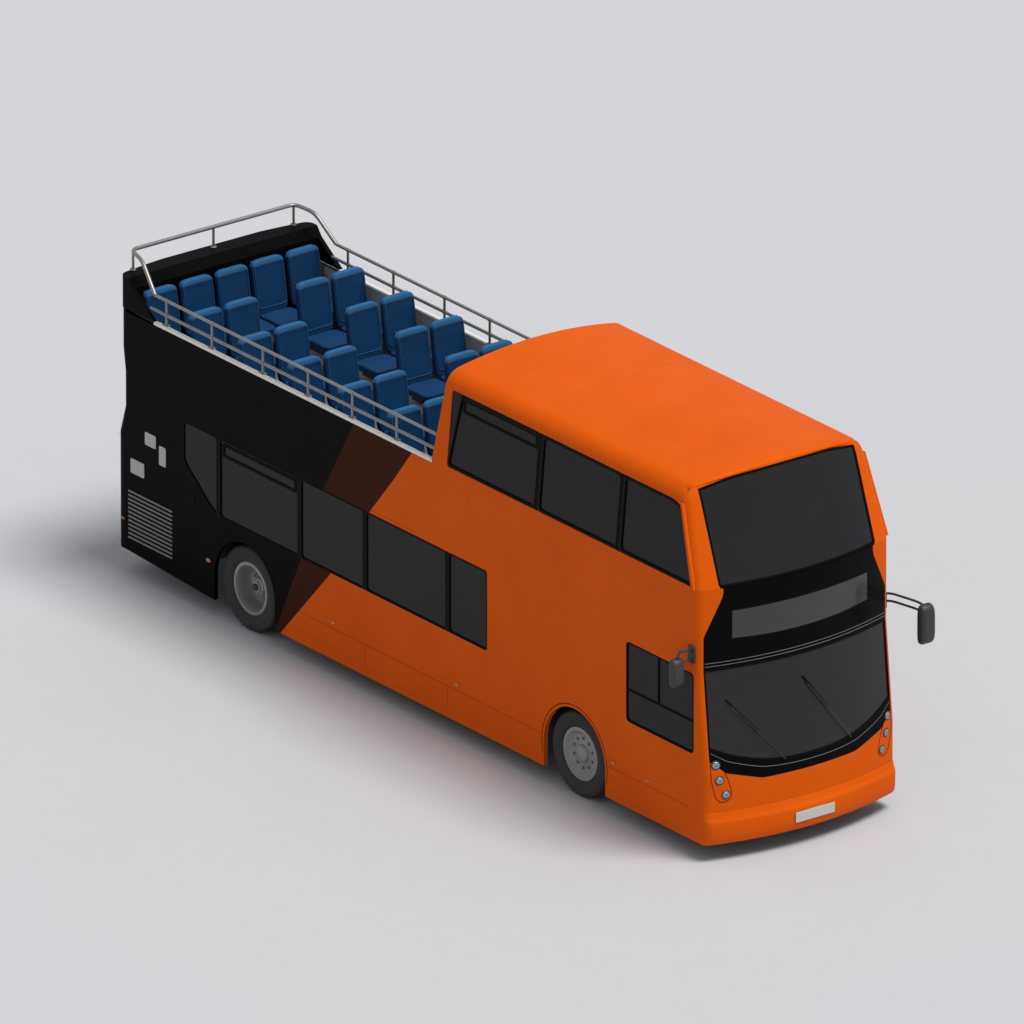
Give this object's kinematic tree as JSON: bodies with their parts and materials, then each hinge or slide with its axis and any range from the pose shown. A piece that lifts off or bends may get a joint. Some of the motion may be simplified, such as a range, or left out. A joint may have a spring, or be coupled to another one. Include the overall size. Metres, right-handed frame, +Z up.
{
  "type": "open-top double decker bus",
  "caption": "Part open-top double decker bus with a hollow saloon, rows of seats, steered front wheels, folding entrance leaves and a rear engine lid.",
  "frame": {"origin": "on the ground, at the middle of the bounding box", "axes": "+X forwards, +Y to the left side of the bus, +Z up"},
  "size_m": [10.9285, 3.05, 4.24],
  "materials": {
    "livery_paint": "gloss paint, orange ahead and black behind a dark brown band",
    "orange_paint": "gloss orange paint",
    "black_paint": "gloss black paint",
    "black_gloss": "gloss black paint",
    "chassis_steel": "painted steel",
    "floor_sheet": "speckled floor sheet",
    "lamp_clear": "clear lens",
    "plate_blank": "blank plate",
    "tinted_glass": "dark tinted glass",
    "lamp_red": "red lens",
    "engine_iron": "cast block",
    "pale_trim": "pale moulded edge",
    "rail_steel": "brushed steel tube",
    "dark_plastic": "grained dark plastic",
    "seat_cover": "padded blue cover with a paler rolled top",
    "tyre_rubber": "matt rubber",
    "rim_paint": "grey painted steel"
  },
  "bodies": {
    "body": {"chassis_frame": "chassis_steel", "lower_floor": "floor_sheet", "wheel_boxes": "floor_sheet", "upper_floor": "floor_sheet", "stairs": "floor_sheet", "skirts": "livery_paint", "lower_sides": "livery_paint", "upper_sides": "livery_paint", "cover_sides": "orange_paint", "right_cab_side": "orange_paint", "left_front_pillar": "orange_paint", "upper_front_frame": "orange_paint", "roof": "orange_paint", "front_bumper": "orange_paint", "front_panel": "orange_paint", "front_mask": "black_gloss", "headlamps": "lamp_clear", "number_plates": "plate_blank", "lower_windscreen": "tinted_glass", "upper_windscreen": "tinted_glass", "side_windows": "tinted_glass", "rear_corners": "black_paint", "rear_wall": "black_paint", "rear_cowl": "black_paint", "tail_lamps": "lamp_red", "engine": "engine_iron", "engine_bulkhead": "floor_sheet", "coping": "pale_trim", "deck_rails": "rail_steel", "mirrors": "dark_plastic", "seat_frames": "rail_steel", "seat_cushions": "seat_cover", "seat_backs": "seat_cover", "driver_cab": "dark_plastic", "steering_wheel": "dark_plastic", "front_axle": "chassis_steel", "rear_axle": "chassis_steel"},
    "left_knuckle": {"left_knuckle": "chassis_steel"},
    "right_knuckle": {"right_knuckle": "chassis_steel"},
    "front_left_wheel": {"front_left_tyre": "tyre_rubber", "front_left_rim": "rim_paint"},
    "front_right_wheel": {"front_right_tyre": "tyre_rubber", "front_right_rim": "rim_paint"},
    "rear_left_wheel": {"rear_left_tyres": "tyre_rubber", "rear_left_rims": "rim_paint"},
    "rear_right_wheel": {"rear_right_tyres": "tyre_rubber", "rear_right_rims": "rim_paint"},
    "engine_lid": {"engine_lid": "black_paint"},
    "front_leaf_arm": {"front_leaf_arm": "rail_steel"},
    "front_leaf": {"front_leaf": "black_gloss", "front_leaf_glass": "tinted_glass"},
    "rear_leaf_arm": {"rear_leaf_arm": "rail_steel"},
    "rear_leaf": {"rear_leaf": "black_gloss", "rear_leaf_glass": "tinted_glass"}
  },
  "joints": [
    {"name": "steer_left", "type": "hinge", "parent": "body", "child": "left_knuckle", "pos_m": [2.775, 1.0275, 0.48], "axis": [0, 0, 1], "range_deg": [-40, 40]},
    {"name": "steer_right", "type": "hinge", "parent": "body", "child": "right_knuckle", "pos_m": [2.775, -1.0275, 0.48], "axis": [0, 0, 1], "range_deg": [-40, 40]},
    {"name": "front_left_spin", "type": "hinge", "parent": "left_knuckle", "child": "front_left_wheel", "pos_m": [2.775, 1.0875, 0.48], "axis": [0, 1, 0], "continuous": true},
    {"name": "front_right_spin", "type": "hinge", "parent": "right_knuckle", "child": "front_right_wheel", "pos_m": [2.775, -1.0875, 0.48], "axis": [0, 1, 0], "continuous": true},
    {"name": "rear_left_spin", "type": "hinge", "parent": "body", "child": "rear_left_wheel", "pos_m": [-3.075, 1.0875, 0.48], "axis": [0, 1, 0], "continuous": true},
    {"name": "rear_right_spin", "type": "hinge", "parent": "body", "child": "rear_right_wheel", "pos_m": [-3.075, -1.0875, 0.48], "axis": [0, 1, 0], "continuous": true},
    {"name": "engine_lid_lift", "type": "hinge", "parent": "body", "child": "engine_lid", "pos_m": [-5.452, 0, 1.6], "axis": [0, 1, 0], "range_deg": [0, 70]},
    {"name": "front_arm_turn", "type": "hinge", "parent": "body", "child": "front_leaf_arm", "pos_m": [4.77, 1.205, 1.2], "axis": [0, 0, 1], "range_deg": [0, 80]},
    {"name": "front_leaf_turn", "type": "hinge", "parent": "front_leaf_arm", "child": "front_leaf", "pos_m": [4.46, 1.205, 1.2], "axis": [0, 0, -1], "range_deg": [0, 160]},
    {"name": "rear_arm_turn", "type": "hinge", "parent": "body", "child": "rear_leaf_arm", "pos_m": [3.54, 1.205, 1.2], "axis": [0, 0, -1], "range_deg": [0, 80]},
    {"name": "rear_leaf_turn", "type": "hinge", "parent": "rear_leaf_arm", "child": "rear_leaf", "pos_m": [3.85, 1.205, 1.2], "axis": [0, 0, 1], "range_deg": [0, 160]}
  ],
  "couplings": [
    {"joint": "steer_right", "follows": "steer_left", "ratio": 1},
    {"joint": "front_leaf_turn", "follows": "front_arm_turn", "ratio": 2},
    {"joint": "rear_arm_turn", "follows": "front_arm_turn", "ratio": 1},
    {"joint": "rear_leaf_turn", "follows": "front_arm_turn", "ratio": 2}
  ]
}
